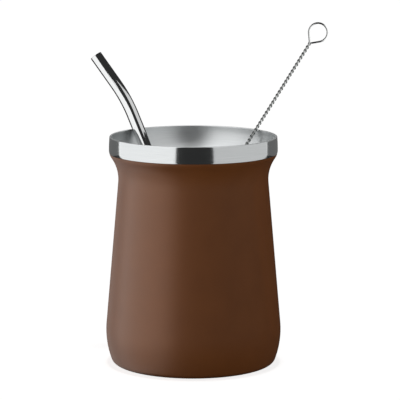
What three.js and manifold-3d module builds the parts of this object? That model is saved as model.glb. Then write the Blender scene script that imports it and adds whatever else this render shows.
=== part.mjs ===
// A steel mate cup with a painted outer skin, a bare rim band and a bare liner.
// A bent steel straw and a twisted-wire straw brush stand in it and lean on its rim.
// Millimetres, +Z up. The cup's axis is Z, its base rests on Z = 0, and -Y is the front.
import * as THREE from 'three';
import { mergeVertices } from 'three/addons/utils/BufferGeometryUtils.js';
import Module from 'manifold-3d';

const wasm = await Module();
wasm.setup();

// Cup: main sizes
const CUP_HEIGHT = 111;
const BODY_RADIUS = 42.5;
const NECK_RADIUS = 36.25;
const RIM_RADIUS = 40.7;
const BELLY_HEIGHT = 16.3;
const NECK_HEIGHT = 90.2;
const SEAM_HEIGHT = 102.7; // top edge of the paint, bottom edge of the bare band
const WALL = 3; // from the outer face to the liner's inner face
const SHEET = 0.8; // thickness of each of the two steel skins
const FLOOR_HEIGHT = 5; // inside floor above the table
const SEAM_GAP = 0.05; // between the painted skin's edge and the band
const LIP_ROUND = 0.4; // half the thickness of the rounded lip

// Cup: roundings of its section
const FOOT_CURVE = 3.5;
const BELLY_CURVE = 41;
const NECK_CURVE = 18.5;
const SHOULDER_CURVE = 6.5;
const BAND_CURVE = 70;
const INNER_FOOT_CURVE = 7;
const INNER_NECK_CURVE = 16;
const INNER_SHOULDER_CURVE = 19.4;

// Cup: faces around its axis, and along each rounding
const CUP_SIDES = 48;
const FINE = { foot: 5, belly: 5, neck: 7 };
const PLAIN = { foot: 3, belly: 3, neck: 4 };
const SHOULDER_PIECES = 3;
const BAND_PIECES = 2;
const LIP_PIECES = 6;

// Straw: a thin tube that leans on the rim at the back left, with a bent mouthpiece
const STRAW_RADIUS = 3;
const STRAW_BORE = 2.5;
const STRAW_FOOT = new THREE.Vector3(18.06, -20.96, 6.9);
const STRAW_AT_RIM = new THREE.Vector3(-26.58, 23.61, 110.3);
const STRAW_KNEE_ABOVE_RIM = 17.9; // along the straw
const STRAW_TIP = new THREE.Vector3(-48.3, 34.5, 146.55);
const STRAW_BEND_SETBACK = 9; // from the knee to where each straight run ends
const STRAW_BEND_PIECES = 6;
const STRAW_SIDES = 16;

// Brush: a folded wire, twisted below its eye, that leans on the rim at the back right
const BRUSH_TIP = new THREE.Vector3(-35.3, 5.23, 7.2);
const BRUSH_EYE_NECK = new THREE.Vector3(57.43, 30.59, 153.25);
const STRAND_RADIUS = 0.43;
const TWIST_PITCH = 4; // one full left-hand turn of the two strands
const TWIST_STEPS_PER_TURN = 6;
const LOBE_HALF_ANGLE = 0.3; // half the arc that each strand takes of the twist's round outline
const EYE_RADIUS = 4.6;
const EYE_CENTRE = 6.3; // from the neck of the eye, along the wire
const EYE_LEAN = THREE.MathUtils.degToRad(5.5); // of the eye to the right of the wire, about its neck
const EYE_ROOT = 0.3; // length of the eye's ends inside the twist
const EYE_PIECES = 20;
const EYE_SIDES = 8;
const BRISTLE_RADIUS = 3;
const BRISTLE_VALLEY = 2.2; // radius between two rows of bristles
const BRISTLE_START = 2; // above the wire's tip
const BRISTLE_LENGTH = 38;
const BRISTLE_ROWS = 10;
const BRISTLE_STEPS = 12;
const BRISTLE_GAP = 0.3; // bore of the bristles around the wire
const BRISTLE_TURN = Math.PI / 2; // from one end of the bristles to the other

const paint = new THREE.MeshStandardMaterial({ color: 0x5a3a29, roughness: 0.5, metalness: 0 });
const satinSteel = new THREE.MeshStandardMaterial({ color: 0xc9cccc, roughness: 0.3, metalness: 1 });
const polishedSteel = new THREE.MeshStandardMaterial({ color: 0xd2d5d6, roughness: 0.1, metalness: 1 });
const wireSteel = new THREE.MeshStandardMaterial({ color: 0xb9bcbc, roughness: 0.25, metalness: 1 });
const nylon = new THREE.MeshStandardMaterial({ color: 0xe8e6df, roughness: 0.7, metalness: 0 });

function polar(radius, angle) {
  return new THREE.Vector2(radius * Math.cos(angle), radius * Math.sin(angle));
}

// Points of a circle's arc, both ends included
function arc(centreX, centreY, radius, from, to, pieces) {
  const centre = new THREE.Vector2(centreX, centreY);
  const points = [];
  for (let i = 0; i <= pieces; i += 1) {
    const angle = from + ((to - from) * i) / pieces;
    points.push(polar(radius, angle).add(centre));
  }
  return points;
}

// A wall form is the section of one face of the cup: flat floor, rounded foot, convex belly,
// straight cone, concave neck and convex shoulder, each tangent to the next.
function offsetForm(form, distance) {
  return {
    floor: form.floor - distance,
    foot: form.foot + distance,
    belly: form.belly + distance,
    bellyCurve: form.bellyCurve + distance,
    neck: form.neck + distance,
    neckCurve: form.neckCurve - distance,
    rim: form.rim + distance,
    shoulderCurve: form.shoulderCurve + distance,
  };
}

// Slope of the neck where it runs straight into the shoulder
function flareAngle(form) {
  const across = form.neck + form.neckCurve - form.rim + form.shoulderCurve;
  return Math.acos(across / (form.neckCurve + form.shoulderCurve));
}

function shoulderHeight(form) {
  const reach = form.neckCurve + form.shoulderCurve;
  return NECK_HEIGHT + reach * Math.sin(flareAngle(form));
}

// Lean of the straight cone between belly and neck
function coneAngle(form) {
  const across = form.neck + form.neckCurve - form.belly + form.bellyCurve;
  const rise = NECK_HEIGHT - BELLY_HEIGHT;
  const reach = form.bellyCurve + form.neckCurve;
  return Math.atan2(rise, across) - Math.acos(reach / Math.hypot(across, rise));
}

function shoulderArc(form, from, to, pieces) {
  const centre = form.rim - form.shoulderCurve;
  return arc(centre, shoulderHeight(form), form.shoulderCurve, from, to, pieces);
}

// Section from the axis, along the floor and up to the top of the neck
function wallSection(form, detail) {
  const drop = BELLY_HEIGHT - form.floor - form.foot;
  const footAngle = Math.asin(drop / (form.bellyCurve - form.foot));
  const cone = coneAngle(form);
  const bellyCentre = form.belly - form.bellyCurve;
  const footCentre = bellyCentre + (form.bellyCurve - form.foot) * Math.cos(footAngle);
  const neckCentre = form.neck + form.neckCurve;
  const neckEnd = Math.PI - flareAngle(form);
  return [
    new THREE.Vector2(0, form.floor),
    ...arc(footCentre, form.floor + form.foot, form.foot, -Math.PI / 2, -footAngle, detail.foot),
    ...arc(bellyCentre, BELLY_HEIGHT, form.bellyCurve, -footAngle, cone, detail.belly).slice(1),
    ...arc(neckCentre, NECK_HEIGHT, form.neckCurve, Math.PI + cone, neckEnd, detail.neck),
  ];
}

// Section from the axis to the given angle on the shoulder
function fullSection(form, detail, shoulderEnd) {
  const shoulder = shoulderArc(form, -flareAngle(form), shoulderEnd, SHOULDER_PIECES);
  return [...wallSection(form, detail), ...shoulder.slice(1)];
}

function revolve(section) {
  const geometry = new THREE.LatheGeometry(section, CUP_SIDES);
  return geometry.rotateX(Math.PI / 2);
}

const outside = {
  floor: 0,
  foot: FOOT_CURVE,
  belly: BODY_RADIUS,
  bellyCurve: BELLY_CURVE,
  neck: NECK_RADIUS,
  neckCurve: NECK_CURVE,
  rim: RIM_RADIUS,
  shoulderCurve: SHOULDER_CURVE,
};
const bandFoot = shoulderHeight(outside);
const seamAngle = Math.asin((SEAM_HEIGHT - bandFoot) / SHOULDER_CURVE);

// Painted outer skin with its flat base
function cupBody() {
  const outer = fullSection(outside, FINE, seamAngle);
  const inner = fullSection(offsetForm(outside, -SHEET), PLAIN, seamAngle);
  return revolve([...outer, ...inner.reverse()]);
}

// Bare steel band, rounded lip and liner, pressed as one piece
function cupLiner() {
  const lipHeight = CUP_HEIGHT - LIP_ROUND;
  const bandTop = Math.asin((lipHeight - bandFoot) / (BAND_CURVE - LIP_ROUND));
  const bandCentre = RIM_RADIUS - BAND_CURVE;
  const lipCentre = bandCentre + (BAND_CURVE - LIP_ROUND) * Math.cos(bandTop);
  const inside = {
    floor: FLOOR_HEIGHT,
    foot: INNER_FOOT_CURVE,
    belly: BODY_RADIUS - WALL,
    bellyCurve: BELLY_CURVE - WALL,
    neck: NECK_RADIUS - WALL,
    neckCurve: INNER_NECK_CURVE,
    rim: lipCentre - LIP_ROUND,
    shoulderCurve: INNER_SHOULDER_CURVE,
  };
  const bandStart = seamAngle + SEAM_GAP / SHOULDER_CURVE;
  const bandEdge = shoulderArc(offsetForm(outside, -SHEET), bandStart, 0, 1)[0];
  const back = offsetForm(inside, SHEET);
  const backEnd = Math.asin((bandEdge.y - shoulderHeight(back)) / back.shoulderCurve);
  return revolve([
    ...fullSection(back, PLAIN, backEnd),
    bandEdge,
    ...shoulderArc(outside, bandStart, 0, SHOULDER_PIECES),
    ...arc(bandCentre, bandFoot, BAND_CURVE, 0, bandTop, BAND_PIECES).slice(1),
    ...arc(lipCentre, lipHeight, LIP_ROUND, bandTop, Math.PI, LIP_PIECES).slice(1),
    ...fullSection(inside, FINE, 0).reverse(),
  ]);
}

// A path whose even steps land on the given stations, so straight runs take few faces
class StationPath extends THREE.Curve {
  constructor(stations) {
    super();
    this.stations = stations;
    this.last = stations.length - 1;
  }

  getPoint(t, target = new THREE.Vector3()) {
    return target.copy(this.stations[Math.round(t * this.last)]);
  }

  getPointAt(u, target) {
    return this.getPoint(u, target);
  }

  getTangentAt(u, target = new THREE.Vector3()) {
    const index = Math.round(u * this.last);
    const before = this.stations[Math.max(index - 1, 0)];
    const after = this.stations[Math.min(index + 1, this.last)];
    return target.subVectors(after, before).normalize();
  }
}

// A three.js arc is split into twice its curveSegments
function sweep(shape, stations, sides) {
  return new THREE.ExtrudeGeometry(shape, {
    steps: stations.length - 1,
    curveSegments: sides / 2,
    bevelEnabled: false,
    extrudePath: new StationPath(stations),
  });
}

function disc(radius) {
  return new THREE.Shape().absarc(0, 0, radius, 0, 2 * Math.PI);
}

function between(from, to, distance) {
  const direction = new THREE.Vector3().subVectors(to, from).normalize();
  return from.clone().addScaledVector(direction, distance);
}

// Bent drinking tube, open at both ends
function straw() {
  const kneeFromFoot = STRAW_FOOT.distanceTo(STRAW_AT_RIM) + STRAW_KNEE_ABOVE_RIM;
  const knee = between(STRAW_FOOT, STRAW_AT_RIM, kneeFromFoot);
  const bend = new THREE.QuadraticBezierCurve3(
    between(knee, STRAW_FOOT, STRAW_BEND_SETBACK),
    knee,
    between(knee, STRAW_TIP, STRAW_BEND_SETBACK),
  );
  const ring = disc(STRAW_RADIUS);
  ring.holes.push(disc(STRAW_BORE));
  const stations = [STRAW_FOOT, ...bend.getPoints(STRAW_BEND_PIECES), STRAW_TIP];
  return sweep(ring, stations, STRAW_SIDES);
}

// Turns each level of an upright solid about Z, by turnAt(height)
function twist(geometry, turnAt) {
  const position = geometry.attributes.position;
  const axis = new THREE.Vector3(0, 0, 1);
  const point = new THREE.Vector3();
  for (let i = 0; i < position.count; i += 1) {
    point.fromBufferAttribute(position, i);
    point.applyAxisAngle(axis, turnAt(point.z));
    position.setXYZ(i, point.x, point.y, point.z);
  }
  return geometry;
}

function toSolid(geometry) {
  const bare = geometry.clone();
  bare.deleteAttribute('normal');
  bare.deleteAttribute('uv');
  const merged = mergeVertices(bare);
  const mesh = new wasm.Mesh({
    numProp: 3,
    vertProperties: new Float32Array(merged.attributes.position.array),
    triVerts: new Uint32Array(merged.index.array),
  });
  return new wasm.Manifold(mesh);
}

function fromSolid(solid) {
  const mesh = solid.getMesh();
  const geometry = new THREE.BufferGeometry();
  geometry.setAttribute('position', new THREE.BufferAttribute(mesh.vertProperties, 3));
  geometry.setIndex(new THREE.BufferAttribute(mesh.triVerts, 1));
  geometry.computeVertexNormals();
  return geometry;
}

// Two strands side by side, turned about each other from the tip up to the eye
function twistedStem(length) {
  const outline = [];
  for (const strand of [0, Math.PI]) {
    outline.push(polar(2 * STRAND_RADIUS, strand - LOBE_HALF_ANGLE));
    outline.push(polar(2 * STRAND_RADIUS, strand + LOBE_HALF_ANGLE));
    outline.push(polar(STRAND_RADIUS, strand + Math.PI / 2));
  }
  const turns = length / TWIST_PITCH;
  const stem = new THREE.ExtrudeGeometry(new THREE.Shape(outline), {
    depth: length,
    steps: Math.round(turns * TWIST_STEPS_PER_TURN),
    bevelEnabled: false,
  });
  return twist(stem, (height) => (2 * Math.PI * (height - length)) / TWIST_PITCH);
}

// Teardrop eye in the XZ plane, its two ends sunk into the top of the twist
function eye(length) {
  const half = Math.asin(EYE_RADIUS / EYE_CENTRE);
  const round = arc(0, EYE_CENTRE, EYE_RADIUS, -half, Math.PI + half, EYE_PIECES);
  const neck = new THREE.Vector2(0, 0);
  round.forEach((point) => point.rotateAround(neck, -EYE_LEAN));
  const outline = [
    new THREE.Vector2(STRAND_RADIUS, -EYE_ROOT),
    new THREE.Vector2(STRAND_RADIUS, 0),
    ...round,
    new THREE.Vector2(-STRAND_RADIUS, 0),
    new THREE.Vector2(-STRAND_RADIUS, -EYE_ROOT),
  ];
  const stations = outline.map((point) => new THREE.Vector3(point.x, 0, length + point.y));
  return sweep(disc(STRAND_RADIUS), stations, EYE_SIDES);
}

// The stem is twisted right-handed, then mirrored, so that the split of each face follows a strand
function brushWire(length) {
  const stem = toSolid(twistedStem(length)).mirror([1, 0, 0]);
  return fromSolid(stem.add(toSolid(eye(length))));
}

// Rows of bristles that turn slowly along the wire, with a bore for it
function bristles() {
  const outline = [];
  for (let i = 0; i < 2 * BRISTLE_ROWS; i += 1) {
    const radius = i % 2 === 0 ? BRISTLE_RADIUS : BRISTLE_VALLEY;
    outline.push(polar(radius, (Math.PI * i) / BRISTLE_ROWS));
  }
  const section = new THREE.Shape(outline);
  section.holes.push(disc(2 * STRAND_RADIUS + BRISTLE_GAP));
  const head = new THREE.ExtrudeGeometry(section, {
    depth: BRISTLE_LENGTH,
    steps: BRISTLE_STEPS,
    curveSegments: EYE_SIDES / 2,
    bevelEnabled: false,
  });
  twist(head, (height) => (-BRISTLE_TURN * height) / BRISTLE_LENGTH);
  return head.translate(0, 0, BRISTLE_START);
}

function node(name, geometry, material) {
  const mesh = new THREE.Mesh(geometry, material);
  mesh.name = name;
  return mesh;
}

// The brush is built upright, then leaned so that its eye faces the front
function brush() {
  const along = new THREE.Vector3().subVectors(BRUSH_EYE_NECK, BRUSH_TIP);
  const length = along.length();
  along.normalize();
  const back = new THREE.Vector3(0, 1, 0);
  back.addScaledVector(along, -along.y).normalize();
  const right = new THREE.Vector3().crossVectors(back, along);
  const leaning = new THREE.Group();
  leaning.add(node('brush_wire', brushWire(length), wireSteel));
  leaning.add(node('brush_bristles', bristles(), nylon));
  leaning.position.copy(BRUSH_TIP);
  leaning.quaternion.setFromRotationMatrix(new THREE.Matrix4().makeBasis(right, back, along));
  return leaning;
}

const cup = new THREE.Group();
cup.add(node('cup_body', cupBody(), paint));
cup.add(node('cup_liner', cupLiner(), satinSteel));
cup.add(node('straw', straw(), polishedSteel));
cup.add(brush());

export default cup;
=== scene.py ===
import math
import random
from typing import NamedTuple

import bmesh
import bpy
from mathutils import Matrix, Vector


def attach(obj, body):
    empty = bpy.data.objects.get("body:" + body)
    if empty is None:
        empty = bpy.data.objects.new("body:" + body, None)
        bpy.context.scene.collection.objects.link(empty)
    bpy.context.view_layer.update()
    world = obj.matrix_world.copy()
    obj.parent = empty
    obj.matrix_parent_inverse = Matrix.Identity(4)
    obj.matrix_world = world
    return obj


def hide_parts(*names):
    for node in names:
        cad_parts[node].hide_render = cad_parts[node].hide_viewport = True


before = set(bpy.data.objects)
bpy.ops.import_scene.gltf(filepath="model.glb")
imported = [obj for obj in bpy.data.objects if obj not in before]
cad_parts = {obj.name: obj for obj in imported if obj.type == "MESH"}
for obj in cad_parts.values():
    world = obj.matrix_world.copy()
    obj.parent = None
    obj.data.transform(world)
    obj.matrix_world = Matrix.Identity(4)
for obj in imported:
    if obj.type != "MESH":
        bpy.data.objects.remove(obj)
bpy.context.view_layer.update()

# Looks of a steel mate cup, its bent straw and its twisted-wire straw brush.
# Metres, +Z up. The cup's axis is Z, its base rests on Z = 0, and -Y is the front.
MM = 0.001

# Cup: the sizes of the CAD part
CUP_HEIGHT = 111 * MM
BODY_RADIUS = 42.5 * MM
NECK_RADIUS = 36.25 * MM
RIM_RADIUS = 40.7 * MM
BELLY_HEIGHT = 16.3 * MM
NECK_HEIGHT = 90.2 * MM
SEAM_HEIGHT = 102.7 * MM
WALL = 3 * MM
SHEET = 0.8 * MM
FLOOR_HEIGHT = 5 * MM
SEAM_GAP = 0.05 * MM
LIP_ROUND = 0.4 * MM
FOOT_CURVE = 3.5 * MM
BELLY_CURVE = 41 * MM
NECK_CURVE = 18.5 * MM
SHOULDER_CURVE = 6.5 * MM
BAND_CURVE = 70 * MM
INNER_FOOT_CURVE = 7 * MM
INNER_NECK_CURVE = 16 * MM
INNER_SHOULDER_CURVE = 19.4 * MM
SEAM_ROUND = 0.25 * MM  # rounded edges on both sides of the seam

# Cup: faces around its axis, and steps along its section
CUP_SIDES = 192
FLOOR_STEPS = 8
FOOT_STEPS = 12
BELLY_STEPS = 16
CONE_STEPS = 12
NECK_STEPS = 20
SHOULDER_STEPS = 8
SEAM_STEPS = 10
BAND_FOOT_STEPS = 6
BAND_STEPS = 8
LIP_STEPS = 16

# Straw: the sizes of the CAD part
STRAW_RADIUS = 3 * MM
STRAW_BORE = 2.5 * MM
STRAW_FOOT = Vector((18.06, -20.96, 6.9)) * MM
STRAW_AT_RIM = Vector((-26.58, 23.61, 110.3)) * MM
STRAW_KNEE_ABOVE_RIM = 17.9 * MM
STRAW_TIP = Vector((-48.3, 34.5, 146.55)) * MM
STRAW_BEND_SETBACK = 9 * MM
STRAW_SIDES = 48
STRAW_BEND_STEPS = 24
STRAW_END_STEPS = 8

# Brush: the sizes of the CAD part
BRUSH_TIP = Vector((-35.3, 5.23, 7.2)) * MM
BRUSH_EYE_NECK = Vector((57.43, 30.59, 153.25)) * MM
STRAND_RADIUS = 0.43 * MM
TWIST_PITCH = 4 * MM
EYE_RADIUS = 4.6 * MM
EYE_CENTRE = 6.3 * MM
EYE_LEAN = math.radians(5.5)
BRISTLE_RADIUS = 3 * MM
BRISTLE_START = 2 * MM
BRISTLE_LENGTH = 38 * MM
FORK = 0.3 * MM  # the strands part this far below the neck of the eye
FORK_CURVE = 0.7 * MM
TWIST_EASE = 0.8 * MM  # the last stretch of the twist, where it comes to rest
TWIST_STEP = 0.2 * MM
STRAND_SIDES = 12
FORK_STEPS = 8
EYE_STEPS = 32
FILAMENT_RADIUS = 0.06 * MM
FILAMENT_STEP = 0.06 * MM  # along the wire, from one filament to the next
FILAMENT_REACH = (0.93, 0.995)  # shortest and longest, as a share of the bristles' radius
FILAMENT_STRAY = 0.12  # spread of their turn about the wire
FILAMENT_BOW = 0.08 * MM  # spread of how far their ends bend along the wire
FILAMENT_STEPS = 3  # from the wire to each end
FILAMENT_SIDES = 4
FILAMENT_SEED = 11


# Mesh helpers

def arc(centre_x, centre_y, radius, start, end, steps):
    """Points of a circle's arc, both ends included."""
    angles = [start + (end - start) * i / steps for i in range(steps + 1)]
    return [(centre_x + radius * math.cos(a), centre_y + radius * math.sin(a)) for a in angles]


def line(start, end, steps):
    """Points of a straight line, its start left out and its end included."""
    return [
        tuple(a + (b - a) * i / steps for a, b in zip(start, end))
        for i in range(1, steps + 1)
    ]


def skin(rings, closed=False, capped=False):
    """Vertices and faces over rings of equal length. Closed joins the last ring to the first."""
    sides = len(rings[0])
    vertices = [point for ring in rings for point in ring]
    pairs = [(i, i + 1) for i in range(len(rings) - 1)]
    if closed:
        pairs.append((len(rings) - 1, 0))
    faces = []
    for low, high in pairs:
        for j in range(sides):
            k = (j + 1) % sides
            faces.append((low * sides + j, low * sides + k, high * sides + k, high * sides + j))
    if capped:
        last = len(vertices) - sides
        faces.append(tuple(range(sides)))
        faces.append(tuple(range(last, last + sides)))
    return vertices, faces


def revolve(outline):
    """Vertices and faces of an outline turned about Z. Its two ends lie on the axis."""
    turns = [2 * math.pi * j / CUP_SIDES for j in range(CUP_SIDES)]
    rings = [[(r * math.cos(t), r * math.sin(t), z) for t in turns] for r, z in outline[1:-1]]
    vertices, faces = skin(rings)
    last_ring = len(vertices) - CUP_SIDES
    bottom = len(vertices)
    vertices += [(0, 0, outline[0][1]), (0, 0, outline[-1][1])]
    for j in range(CUP_SIDES):
        k = (j + 1) % CUP_SIDES
        faces.append((bottom, k, j))
        faces.append((bottom + 1, last_ring + j, last_ring + k))
    return vertices, faces


def path_frames(path):
    """At each point: the tangent and two crosswise directions, turned as little as possible."""
    last = len(path) - 1
    tangents = [
        (path[min(i + 1, last)] - path[max(i - 1, 0)]).normalized() for i in range(len(path))
    ]
    side = tangents[0].orthogonal().normalized()
    frames = []
    for tangent in tangents:
        side = (side - tangent * side.dot(tangent)).normalized()
        frames.append((tangent, side, tangent.cross(side)))
    return frames


def ring(centre, frame_here, radius, sides):
    """A circle of points across a path."""
    _, side, other = frame_here
    turns = [2 * math.pi * j / sides for j in range(sides)]
    return [centre + radius * (math.cos(t) * side + math.sin(t) * other) for t in turns]


def make_piece(name, shape, node, materials):
    """A smooth piece that stands for a CAD node and rides on the part's one body."""
    mesh = bpy.data.meshes.new(name)
    vertices, faces = shape
    mesh.from_pydata(vertices, [], faces)
    shell = bmesh.new()
    shell.from_mesh(mesh)
    bmesh.ops.recalc_face_normals(shell, faces=shell.faces)
    shell.to_mesh(mesh)
    shell.free()
    mesh.shade_smooth()
    for material in materials:
        mesh.materials.append(material)
    piece = bpy.data.objects.new(name, mesh)
    bpy.context.scene.collection.objects.link(piece)
    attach(piece, "root")
    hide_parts(node)
    return piece


# Cup

class WallForm(NamedTuple):
    """Section of one face of the cup: floor, round foot, belly, straight cone, neck and shoulder."""
    floor: float
    foot: float
    belly: float
    belly_curve: float
    neck: float
    neck_curve: float
    rim: float
    shoulder_curve: float

    def offset(self, distance):
        """The same wall, moved outwards."""
        return WallForm(
            self.floor - distance,
            self.foot + distance,
            self.belly + distance,
            self.belly_curve + distance,
            self.neck + distance,
            self.neck_curve - distance,
            self.rim + distance,
            self.shoulder_curve + distance,
        )

    def flare(self):
        """Slope of the neck where it runs into the shoulder."""
        across = self.neck + self.neck_curve - self.rim + self.shoulder_curve
        return math.acos(across / (self.neck_curve + self.shoulder_curve))

    def cone(self):
        """Lean of the straight cone between belly and neck."""
        across = self.neck + self.neck_curve - self.belly + self.belly_curve
        rise = NECK_HEIGHT - BELLY_HEIGHT
        reach = self.belly_curve + self.neck_curve
        return math.atan2(rise, across) - math.acos(reach / math.hypot(across, rise))

    def shoulder_height(self):
        return NECK_HEIGHT + (self.neck_curve + self.shoulder_curve) * math.sin(self.flare())

    def shoulder_arc(self, start, end, steps):
        centre = self.rim - self.shoulder_curve
        return arc(centre, self.shoulder_height(), self.shoulder_curve, start, end, steps)

    def section(self):
        """Outline from the axis, along the floor and up the wall to the top of the neck."""
        drop = BELLY_HEIGHT - self.floor - self.foot
        foot_angle = math.asin(drop / (self.belly_curve - self.foot))
        belly_x = self.belly - self.belly_curve
        foot_x = belly_x + (self.belly_curve - self.foot) * math.cos(foot_angle)
        foot_y = self.floor + self.foot
        neck_x = self.neck + self.neck_curve
        foot = arc(foot_x, foot_y, self.foot, -math.pi / 2, -foot_angle, FOOT_STEPS)
        belly = arc(
            belly_x, BELLY_HEIGHT, self.belly_curve,
            -foot_angle, self.cone(), BELLY_STEPS,
        )
        neck = arc(
            neck_x, NECK_HEIGHT, self.neck_curve,
            math.pi + self.cone(), math.pi - self.flare(), NECK_STEPS,
        )
        floor = [(0, self.floor)] + line((0, self.floor), foot[0], FLOOR_STEPS)
        return floor + foot[1:] + belly[1:] + line(belly[-1], neck[0], CONE_STEPS) + neck[1:]

    def full_section(self, shoulder_end):
        """Outline from the axis to an angle on the shoulder."""
        return self.section() + self.shoulder_arc(-self.flare(), shoulder_end, SHOULDER_STEPS)[1:]


OUTSIDE = WallForm(
    floor=0,
    foot=FOOT_CURVE,
    belly=BODY_RADIUS,
    belly_curve=BELLY_CURVE,
    neck=NECK_RADIUS,
    neck_curve=NECK_CURVE,
    rim=RIM_RADIUS,
    shoulder_curve=SHOULDER_CURVE,
)
BAND_FOOT = OUTSIDE.shoulder_height()
SEAM_ANGLE = math.asin((SEAM_HEIGHT - BAND_FOOT) / SHOULDER_CURVE)
SEAM_ROUND_ANGLE = SEAM_ROUND / (SHOULDER_CURVE - SEAM_ROUND)


def seam_edge(angle, start, end):
    """Rounded edge of a skin at the seam: an arc about a point inside the sheet."""
    depth = SHOULDER_CURVE - SEAM_ROUND
    centre_x = RIM_RADIUS - SHOULDER_CURVE + depth * math.cos(angle)
    centre_y = BAND_FOOT + depth * math.sin(angle)
    return arc(centre_x, centre_y, SEAM_ROUND, start, end, SEAM_STEPS)


def painted_skin():
    """Outer skin with its flat base, up to the rounded edge at the seam."""
    end = SEAM_ANGLE - SEAM_ROUND_ANGLE
    outer = OUTSIDE.full_section(end)
    edge = seam_edge(end, end, end + math.pi / 2)[1:]
    inner = OUTSIDE.offset(-SHEET).full_section(SEAM_ANGLE)
    return revolve(outer + edge + inner[::-1])


def steel_liner():
    """Rim band, rounded lip and inner wall in one piece."""
    lip_height = CUP_HEIGHT - LIP_ROUND
    band_top = math.asin((lip_height - BAND_FOOT) / (BAND_CURVE - LIP_ROUND))
    band_x = RIM_RADIUS - BAND_CURVE
    lip_x = band_x + (BAND_CURVE - LIP_ROUND) * math.cos(band_top)
    inside = WallForm(
        floor=FLOOR_HEIGHT,
        foot=INNER_FOOT_CURVE,
        belly=BODY_RADIUS - WALL,
        belly_curve=BELLY_CURVE - WALL,
        neck=NECK_RADIUS - WALL,
        neck_curve=INNER_NECK_CURVE,
        rim=lip_x - LIP_ROUND,
        shoulder_curve=INNER_SHOULDER_CURVE,
    )
    foot = SEAM_ANGLE + SEAM_GAP / SHOULDER_CURVE
    start = foot + SEAM_ROUND_ANGLE
    band_edge = OUTSIDE.offset(-SHEET).shoulder_arc(foot, start, 1)[0]
    back = inside.offset(SHEET)
    back_end = math.asin((band_edge[1] - back.shoulder_height()) / back.shoulder_curve)
    return revolve(
        back.full_section(back_end)
        + [band_edge]
        + seam_edge(start, start - math.pi / 2, start)
        + OUTSIDE.shoulder_arc(start, 0, BAND_FOOT_STEPS)[1:]
        + arc(band_x, BAND_FOOT, BAND_CURVE, 0, band_top, BAND_STEPS)[1:]
        + arc(lip_x, lip_height, LIP_ROUND, band_top, math.pi, LIP_STEPS)[1:-1]
        + inside.full_section(0)[::-1]
    )


# Straw

def towards(start, end, distance):
    return start + (end - start).normalized() * distance


def straw_path():
    """Centre line from the hidden foot over the bend to the mouth end."""
    knee_from_foot = (STRAW_AT_RIM - STRAW_FOOT).length + STRAW_KNEE_ABOVE_RIM
    knee = towards(STRAW_FOOT, STRAW_AT_RIM, knee_from_foot)
    start = towards(knee, STRAW_FOOT, STRAW_BEND_SETBACK)
    end = towards(knee, STRAW_TIP, STRAW_BEND_SETBACK)
    bend = []
    for i in range(STRAW_BEND_STEPS + 1):
        t = i / STRAW_BEND_STEPS
        bend.append(start * (1 - t) ** 2 + knee * 2 * t * (1 - t) + end * t ** 2)
    return [STRAW_FOOT, *bend, STRAW_TIP]


def straw_tube():
    """Bent tube, open and rounded at both ends."""
    path = straw_path()
    frames = path_frames(path)
    round_end = (STRAW_RADIUS - STRAW_BORE) / 2
    middle = (STRAW_RADIUS + STRAW_BORE) / 2

    def end_rings(index, inwards, start, end):
        rings = []
        for across, beyond in arc(middle, 0, round_end, start, end, STRAW_END_STEPS):
            centre = path[index] + frames[index][0] * (inwards * round_end + beyond)
            rings.append(ring(centre, frames[index], across, STRAW_SIDES))
        return rings

    inner_points = range(1, len(path) - 1)
    outer = [ring(path[i], frames[i], STRAW_RADIUS, STRAW_SIDES) for i in inner_points]
    inner = [ring(path[i], frames[i], STRAW_BORE, STRAW_SIDES) for i in reversed(inner_points)]
    foot = end_rings(0, 1, math.pi, 2 * math.pi)
    tip = end_rings(-1, -1, 0, math.pi)
    return skin(foot + outer + tip + inner, closed=True)


# Brush

def brush_frame():
    """Length of the twist, and the placing of a brush that is built upright with its eye in XZ."""
    along = BRUSH_EYE_NECK - BRUSH_TIP
    length = along.length
    along.normalize()
    back = Vector((0, 1, 0))
    back = (back - along * along.y).normalized()
    right = back.cross(along)
    turn = Matrix((right, back, along)).transposed().to_4x4()
    return length, Matrix.Translation(BRUSH_TIP) @ turn


def twist_turn(below_fork):
    """Turn of the strands, which eases off where they part."""
    rate = 2 * math.pi / TWIST_PITCH
    if below_fork < TWIST_EASE:
        return rate * below_fork ** 2 / (2 * TWIST_EASE)
    return rate * (below_fork - TWIST_EASE / 2)


def half_wire(length):
    """Centre line of one strand, from the tip up to the top of the eye."""
    fork = length - FORK
    steps = round(fork / TWIST_STEP)
    strand = []
    for i in range(steps):
        height = fork * i / steps
        turn = twist_turn(fork - height)
        strand.append(Vector((math.cos(turn), math.sin(turn), 0)) * STRAND_RADIUS)
        strand[-1].z = height
    across = STRAND_RADIUS + FORK_CURVE
    rise = FORK + EYE_CENTRE
    reach = EYE_RADIUS + FORK_CURVE
    lean = math.atan2(rise, across) - math.acos(reach / math.hypot(across, rise))
    outline = arc(across, fork, FORK_CURVE, math.pi, math.pi - lean, FORK_STEPS)
    outline += arc(0, length + EYE_CENTRE, EYE_RADIUS, -lean, math.pi / 2, EYE_STEPS)
    return strand + [Vector((x, 0, z)) for x, z in outline]


def twisted_wire():
    """One wire, folded into an eye that leans to the right, and twisted with itself."""
    length, place = brush_frame()
    half = half_wire(length)
    other_half = [Vector((-p.x, -p.y, p.z)) for p in half]
    neck = Matrix.Translation((0, 0, length))
    lean = neck @ Matrix.Rotation(EYE_LEAN, 4, "Y") @ neck.inverted()
    path = []
    for point in half + other_half[-2::-1]:
        in_eye = point.z >= length - FORK
        path.append(place @ (lean @ point if in_eye else point))
    frames = path_frames(path)
    rings = [ring(p, f, STRAND_RADIUS, STRAND_SIDES) for p, f in zip(path, frames)]
    return skin(rings, capped=True)


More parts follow.
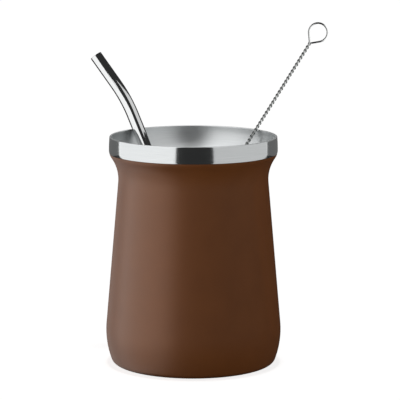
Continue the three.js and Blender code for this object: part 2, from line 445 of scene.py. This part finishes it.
def bristle_filaments():
    """Thin filaments held between the strands, in a double spiral along the wire."""
    length, place = brush_frame()
    chance = random.Random(FILAMENT_SEED)
    fork = length - FORK
    vertices = []
    faces = []
    for i in range(round(BRISTLE_LENGTH / FILAMENT_STEP)):
        height = BRISTLE_START + FILAMENT_STEP * (i + 0.5)
        turn = twist_turn(fork - height) + math.pi / 2 + chance.gauss(0, FILAMENT_STRAY)
        out = Vector((math.cos(turn), math.sin(turn), 0))
        reach = BRISTLE_RADIUS * chance.uniform(*FILAMENT_REACH)
        bow = chance.gauss(0, FILAMENT_BOW)
        path = []
        for j in range(-FILAMENT_STEPS, FILAMENT_STEPS + 1):
            share = j / FILAMENT_STEPS
            level = Vector((0, 0, height + bow * share ** 2))
            path.append(place @ (out * reach * share + level))
        frames = path_frames(path)
        rings = [ring(p, f, FILAMENT_RADIUS, FILAMENT_SIDES) for p, f in zip(path, frames)]
        more_vertices, more_faces = skin(rings, capped=True)
        first = len(vertices)
        vertices += more_vertices
        faces += [tuple(first + index for index in face) for face in more_faces]
    return vertices, faces


# Materials

PAINT_DARK = (0.132, 0.0415, 0.0098)
PAINT_LIGHT = (0.143, 0.0455, 0.0106)
PAINT_SHEEN = (0.95, 0.74, 0.64, 1)
STEEL_DARK = (0.69, 0.71, 0.715)
STEEL_LIGHT = (0.76, 0.78, 0.785)
CHROME_DARK = (0.80, 0.81, 0.81)
CHROME_LIGHT = (0.86, 0.87, 0.87)
WIRE_DARK = (0.62, 0.63, 0.62)
WIRE_LIGHT = (0.76, 0.77, 0.76)
NYLON_DARK = (0.78, 0.77, 0.73)
NYLON_LIGHT = (0.88, 0.87, 0.84)
FLOOR_PALE = (0.85, 0.85, 0.85, 1)
FLOOR_GLOW = 0.845  # light of its own, which keeps its shadows faint
WHITE = (1, 1, 1, 1)
NOISE_LOW = 0.3  # noise stays near the middle of its range
NOISE_HIGH = 0.7
SATIN_RADIUS = 39.75 * MM  # the liner is satin up to here
BRIGHT_RADIUS = 40.0 * MM  # and bright from here, on the rim band
LINE_LENGTH = 0.02  # how little the turned lines change across the cup


def add_node(tree, kind, inputs=(), **settings):
    """A shader node. An input is a number, a colour or another node's output."""
    made = tree.nodes.new("ShaderNode" + kind)
    for key, value in settings.items():
        setattr(made, key, value)
    for key, value in dict(inputs).items():
        if isinstance(value, bpy.types.NodeSocket):
            tree.links.new(value, made.inputs[key])
        else:
            made.inputs[key].default_value = value
    return made


def new_material(name):
    """A node material with its Principled shader."""
    material = bpy.data.materials.new(name)
    material.use_nodes = True
    return material, material.node_tree, material.node_tree.nodes["Principled BSDF"]


def noise(tree, vector, scale, detail=2.0):
    found = add_node(tree, "TexNoise", {"Vector": vector, "Scale": scale, "Detail": detail})
    return found.outputs["Fac"]


def spread(tree, value, low, high):
    """Noise, which stays near the middle, spread over a range."""
    sockets = {
        "Value": value, "From Min": NOISE_LOW, "From Max": NOISE_HIGH, "To Min": low, "To Max": high
    }
    return add_node(tree, "MapRange", sockets).outputs["Result"]


def two_tones(tree, value, dark, light):
    """A colour between two tones, by a noise."""
    ramp = add_node(tree, "ValToRGB", {"Fac": value})
    ramp.color_ramp.elements[0].position = NOISE_LOW
    ramp.color_ramp.elements[0].color = (*dark, 1)
    ramp.color_ramp.elements[1].position = NOISE_HIGH
    ramp.color_ramp.elements[1].color = (*light, 1)
    return ramp.outputs["Color"]


def bump(tree, height, strength, distance):
    sockets = {"Height": height, "Strength": strength, "Distance": distance}
    return add_node(tree, "Bump", sockets).outputs["Normal"]


def paint_material():
    """Brown powder coat with a fine grain."""
    material, tree, shader = new_material("brown_powder_coat")
    place = add_node(tree, "TexCoord").outputs["Object"]
    grain = noise(tree, place, scale=2600, detail=3)
    cloud = noise(tree, place, scale=90)
    tree.links.new(two_tones(tree, cloud, PAINT_DARK, PAINT_LIGHT), shader.inputs["Base Color"])
    tree.links.new(spread(tree, grain, low=0.38, high=0.42), shader.inputs["Roughness"])
    relief = bump(tree, grain, strength=0.12, distance=0.05 * MM)
    tree.links.new(relief, shader.inputs["Normal"])
    shader.inputs["Specular Tint"].default_value = PAINT_SHEEN
    return material


def turned_lines(tree, scale):
    """Fine lines around the cup's axis, as brushing on a lathe leaves them, and the radius."""
    place = add_node(tree, "TexCoord").outputs["Object"]
    flat = add_node(tree, "Mapping", {"Vector": place, "Scale": (1, 1, 0)}).outputs["Vector"]
    radius = add_node(tree, "VectorMath", {0: flat}, operation="LENGTH").outputs["Value"]
    axes = add_node(tree, "SeparateXYZ", {"Vector": place})
    height = axes.outputs["Z"]
    along = add_node(tree, "Math", {0: axes.outputs["X"], 1: LINE_LENGTH}, operation="MULTIPLY")
    level = add_node(tree, "CombineXYZ", {"X": radius, "Y": height, "Z": along.outputs["Value"]})
    return noise(tree, level.outputs["Vector"], scale, detail=3), radius


def liner_material():
    """Bare steel, brushed around the cup: satin inside, brighter on the rim band."""
    material, tree, shader = new_material("brushed_steel")
    lines, radius = turned_lines(tree, scale=5000)
    sockets = {"Value": radius, "From Min": SATIN_RADIUS, "From Max": BRIGHT_RADIUS}
    band = add_node(tree, "MapRange", sockets).outputs["Result"]
    satin = spread(tree, lines, low=0.34, high=0.40)
    bright = spread(tree, lines, low=0.09, high=0.13)
    rough = add_node(tree, "Mix", {"Factor": band, 2: satin, 3: bright}, data_type="FLOAT")
    tree.links.new(two_tones(tree, lines, STEEL_DARK, STEEL_LIGHT), shader.inputs["Base Color"])
    tree.links.new(rough.outputs["Result"], shader.inputs["Roughness"])
    relief = bump(tree, lines, strength=0.03, distance=0.01 * MM)
    tree.links.new(relief, shader.inputs["Normal"])
    shader.inputs["Metallic"].default_value = 1
    return material


def straw_material():
    """Polished steel with a faint unevenness."""
    material, tree, shader = new_material("polished_steel")
    place = add_node(tree, "TexCoord").outputs["Object"]
    cloud = noise(tree, place, scale=700)
    tree.links.new(two_tones(tree, cloud, CHROME_DARK, CHROME_LIGHT), shader.inputs["Base Color"])
    tree.links.new(spread(tree, cloud, low=0.05, high=0.09), shader.inputs["Roughness"])
    relief = bump(tree, cloud, strength=0.02, distance=0.02 * MM)
    tree.links.new(relief, shader.inputs["Normal"])
    shader.inputs["Metallic"].default_value = 1
    return material


def wire_material():
    """Drawn steel wire."""
    material, tree, shader = new_material("wire_steel")
    place = add_node(tree, "TexCoord").outputs["Object"]
    grain = noise(tree, place, scale=3000, detail=3)
    tree.links.new(two_tones(tree, grain, WIRE_DARK, WIRE_LIGHT), shader.inputs["Base Color"])
    tree.links.new(spread(tree, grain, low=0.1, high=0.16), shader.inputs["Roughness"])
    relief = bump(tree, grain, strength=0.05, distance=0.02 * MM)
    tree.links.new(relief, shader.inputs["Normal"])
    shader.inputs["Metallic"].default_value = 1
    return material


def nylon_material():
    """White nylon filaments."""
    material, tree, shader = new_material("white_nylon")
    place = add_node(tree, "TexCoord").outputs["Object"]
    cloud = noise(tree, place, scale=400)
    tree.links.new(two_tones(tree, cloud, NYLON_DARK, NYLON_LIGHT), shader.inputs["Base Color"])
    tree.links.new(spread(tree, cloud, low=0.4, high=0.55), shader.inputs["Roughness"])
    return material


def floor_material():
    """Plain pale floor, which is stage."""
    material, _, shader = new_material("pale_floor")
    shader.inputs["Base Color"].default_value = FLOOR_PALE
    shader.inputs["Roughness"].default_value = 0.8
    shader.inputs["Emission Color"].default_value = WHITE
    shader.inputs["Emission Strength"].default_value = FLOOR_GLOW
    return material


cup_skin = make_piece("painted_skin", painted_skin(), "cup_body", [paint_material()])
cup_steel = make_piece("steel_liner", steel_liner(), "cup_liner", [liner_material()])
straw = make_piece("straw_tube", straw_tube(), "straw", [straw_material()])
wire = make_piece("twisted_wire", twisted_wire(), "brush_wire", [wire_material()])
bristles = make_piece(
    "bristle_filaments", bristle_filaments(), "brush_bristles", [nylon_material()]
)


# Stage: camera, floor and light

CAMERA_PLACE = Vector((0.0032, -1.108, 0.2562))
CAMERA_PITCH = math.radians(9.05)
FOCAL_PIXELS = 2319.5
IMAGE_PIXELS = 400
SENSOR = 36
AIM = Vector((0, 0, 0.07))
FLOOR_HALF = 6
SURROUNDINGS = 0.03  # strength of the dim light from all around


def add_camera():
    data = bpy.data.cameras.new("camera")
    data.sensor_width = SENSOR
    data.lens = FOCAL_PIXELS * SENSOR / IMAGE_PIXELS
    camera = bpy.data.objects.new("camera", data)
    camera.location = CAMERA_PLACE
    camera.rotation_euler = (math.pi / 2 - CAMERA_PITCH, 0, 0)
    bpy.context.scene.collection.objects.link(camera)
    bpy.context.scene.camera = camera


def add_floor():
    """A floor that only the camera sees, so that light also reaches the pieces from below."""
    mesh = bpy.data.meshes.new("floor")
    signs = ((-1, -1), (1, -1), (1, 1), (-1, 1))
    corners = [(x * FLOOR_HALF, y * FLOOR_HALF, 0) for x, y in signs]
    mesh.from_pydata(corners, [], [(0, 1, 2, 3)])
    mesh.materials.append(floor_material())
    floor = bpy.data.objects.new("floor", mesh)
    floor.visible_glossy = False
    floor.visible_diffuse = False
    floor.visible_shadow = False
    bpy.context.scene.collection.objects.link(floor)
    return floor


def light_only(lamp, pieces):
    """A lamp that lights the given pieces alone."""
    lit = bpy.data.collections.new(lamp.name + "_lit")
    for piece in pieces:
        lit.objects.link(piece)
    lamp.light_linking.receiver_collection = lit


def softbox(name, pieces, azimuth, elevation, width, height, radiance, centre=AIM, distance=1.0):
    """A soft rectangle of light on some pieces. Azimuth is from the front, to the right."""
    data = bpy.data.lights.new(name, "AREA")
    data.shape = "RECTANGLE"
    data.size = width
    data.size_y = height
    data.energy = radiance * math.pi * width * height
    lamp = bpy.data.objects.new(name, data)
    turn = math.radians(azimuth)
    rise = math.radians(elevation)
    direction = Vector(
        (math.sin(turn) * math.cos(rise), -math.cos(turn) * math.cos(rise), math.sin(rise))
    )
    lamp.location = centre + direction * distance
    lamp.rotation_euler = direction.to_track_quat("Z", "Y").to_euler()
    lamp.visible_camera = False
    bpy.context.scene.collection.objects.link(lamp)
    light_only(lamp, pieces)
    return lamp


def add_world():
    """Dim surroundings, white to the camera."""
    world = bpy.data.worlds.new("studio")
    world.use_nodes = True
    bpy.context.scene.world = world
    tree = world.node_tree
    dim = tree.nodes["Background"]
    dim.inputs["Color"].default_value = WHITE
    dim.inputs["Strength"].default_value = SURROUNDINGS
    white = add_node(tree, "Background", {"Strength": 1.0, "Color": WHITE})
    seen = add_node(tree, "LightPath").outputs["Is Camera Ray"]
    both = add_node(tree, "MixShader", {0: seen, 1: dim.outputs[0], 2: white.outputs[0]})
    tree.links.new(both.outputs[0], tree.nodes["World Output"].inputs["Surface"])


def light_floor(floor):
    """A far light overhead, for a faint shadow where the cup stands."""
    softbox(
        "floor_light", [floor], azimuth=0, elevation=90,
        width=2.0, height=2.0, radiance=59, distance=20,
    )


def light_steel(pieces):
    """A bright left and a weaker right, with the dark front between them."""
    boxes = (
        ("left", -71.5, 5, 2.28, 4.5, 1.04),
        ("right", 73, 5, 2.1, 4.0, 0.62),
        ("top", 0, 85, 1.2, 1.2, 0.55),
        ("back", 180, 30, 4.0, 0.8, 0.3),
        ("back_low", 180, -5, 4.0, 0.4, 0.12),
    )
    for side, azimuth, elevation, width, height, radiance in boxes:
        softbox("steel_" + side, pieces, azimuth, elevation, width, height, radiance)


def light_straw(pieces):
    """A white left half, and a near card that draws the stripe below the bend."""
    softbox("straw_left", pieces, azimuth=-66, elevation=5, width=1.8, height=3.0, radiance=1.05)
    softbox("straw_front", pieces, azimuth=-9, elevation=-8, width=0.42, height=0.9, radiance=1.05)
    above_rim = towards(STRAW_AT_RIM, STRAW_FOOT, -8 * MM)
    card = softbox(
        "straw_right", pieces, azimuth=85, elevation=43,
        width=75 * MM, height=25 * MM, radiance=0.7, centre=above_rim, distance=60 * MM,
    )
    card.rotation_euler.rotate_axis("Z", math.radians(-18))


def light_wire(pieces):
    softbox("wire_left", pieces, azimuth=-85, elevation=0, width=2.0, height=3.0, radiance=0.5)
    softbox("wire_right", pieces, azimuth=85, elevation=0, width=3.8, height=2.0, radiance=1.3)


def light_paint(pieces):
    """A sheen from the left that fades to the front, and an even light near the cup."""
    sheens = (
        ("wide", -100, 3.4, 3.4, 0.6),
        ("main", -75, 2.0, 2.4, 0.9),
        ("core", -70, 2.0, 0.8, 1.1),
    )
    for part, azimuth, width, height, radiance in sheens:
        key = softbox("paint_key_" + part, pieces, azimuth, 0, width, height, radiance)
        key.visible_diffuse = False
    near = Vector((0, 0, 0.137))
    fills = (("left", -80, 0.6, 0.99), ("front", 0, 0.42, 0.82), ("right", 80, 0.6, 0.99))
    for side, azimuth, width, radiance in fills:
        fill = softbox(
            "paint_fill_" + side, pieces, azimuth, elevation=0,
            width=width, height=0.37, radiance=radiance, centre=near, distance=0.3,
        )
        fill.visible_glossy = False


bpy.context.scene.view_settings.view_transform = "Standard"
add_camera()
add_world()
light_floor(add_floor())
light_steel([cup_steel, bristles])
light_straw([straw])
light_wire([wire])
light_paint([cup_skin])
